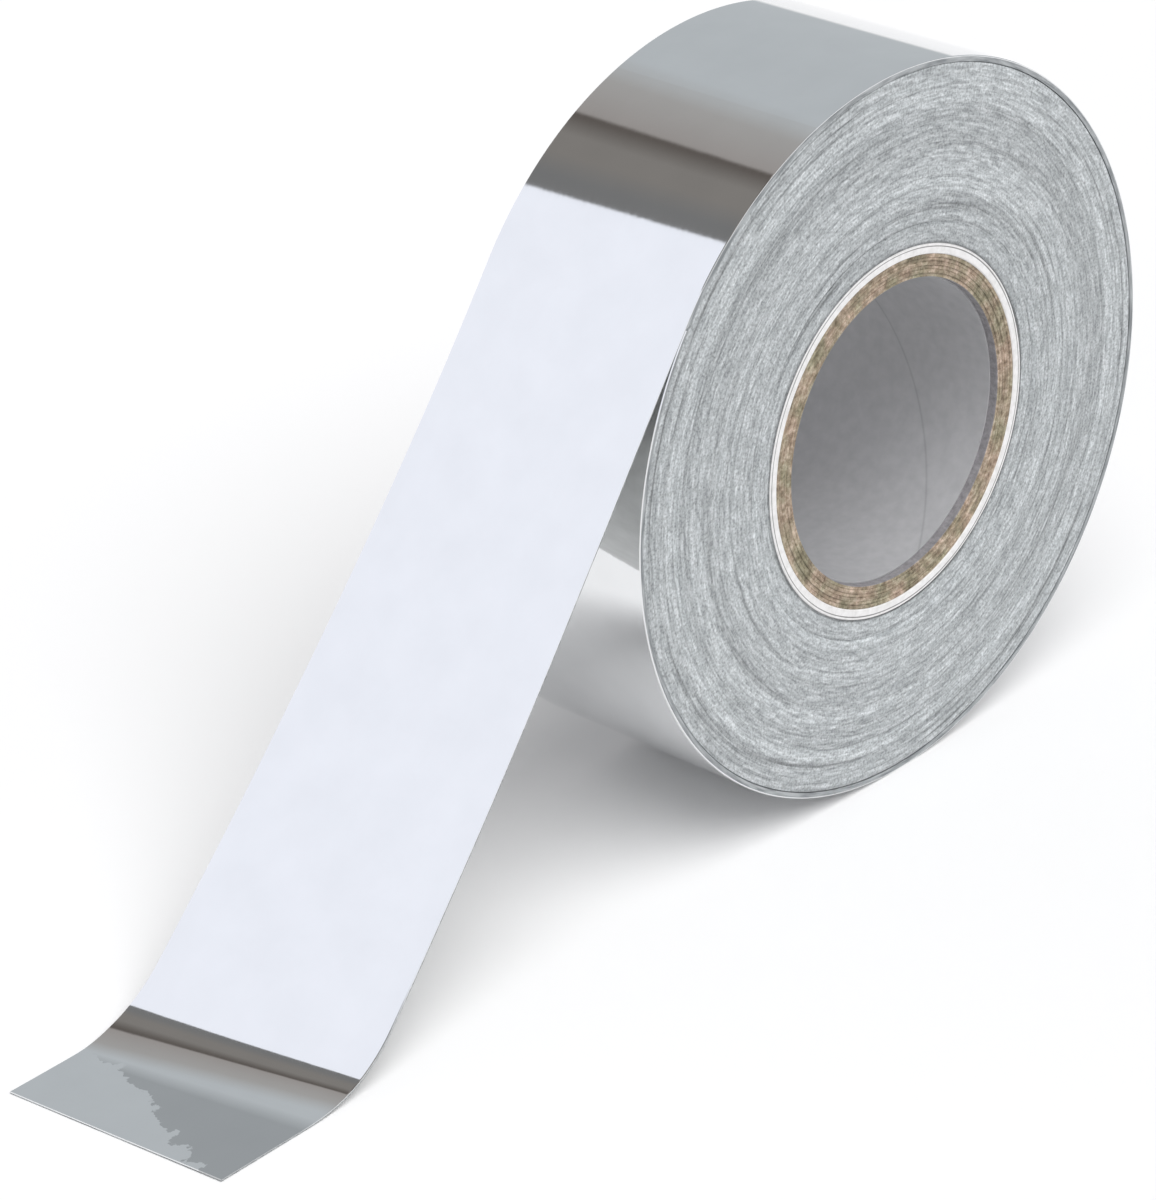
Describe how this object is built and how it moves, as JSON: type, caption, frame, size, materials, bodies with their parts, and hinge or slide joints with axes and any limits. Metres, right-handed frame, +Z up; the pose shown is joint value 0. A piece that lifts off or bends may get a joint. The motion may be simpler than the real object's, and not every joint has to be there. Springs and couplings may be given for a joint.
{
  "type": "duct tape roll",
  "caption": "Roll of silver foil tape on a cardboard core, standing on its rim, with a free strip led down to the floor.",
  "frame": {"origin": "middle of the floor rectangle under the roll and its free strip, on the floor", "axes": "+X along the roll's axis, -Y from the roll towards the strip's end, +Z up"},
  "size_m": [0.05, 0.2656, 0.1499],
  "materials": {
    "foil": "bright rolled foil",
    "adhesive": "tacky, slightly glossy",
    "wound_edges": "cut edges of wound tape",
    "kraft_board": "raw cut board",
    "white_ply": "smooth paper",
    "core_liner": "coated grey paper"
  },
  "bodies": {
    "outer_turn": {"outer_turn_foil": "foil", "outer_turn_adhesive": "adhesive"},
    "roll": {"core_inner_liner": "core_liner", "core_board_ply_1": "kraft_board", "core_board_ply_2": "kraft_board", "core_board_ply_3": "kraft_board", "core_board_ply_4": "kraft_board", "core_board_ply_5": "kraft_board", "core_board_ply_6": "kraft_board", "core_outer_ply": "white_ply", "wound_tape": "wound_edges"},
    "strip_run": {"strip_run_foil": "foil", "strip_run_adhesive": "adhesive"},
    "strip_end": {"strip_end_foil": "foil", "strip_end_adhesive": "adhesive"}
  },
  "joints": [
    {"name": "roll_turn", "type": "hinge", "parent": "outer_turn", "child": "roll", "pos_m": [0, 0.05775, 0.07495], "axis": [1, 0, 0], "continuous": true},
    {"name": "strip_lift", "type": "hinge", "parent": "outer_turn", "child": "strip_run", "pos_m": [0, -0.00283, 0.11878], "axis": [-1, 0, 0], "range_deg": [0, 50]},
    {"name": "strip_end_bend", "type": "hinge", "parent": "strip_run", "child": "strip_end", "pos_m": [0, -0.09276, 0.00973], "axis": [-1, 0, 0], "range_deg": [0, 60]}
  ]
}
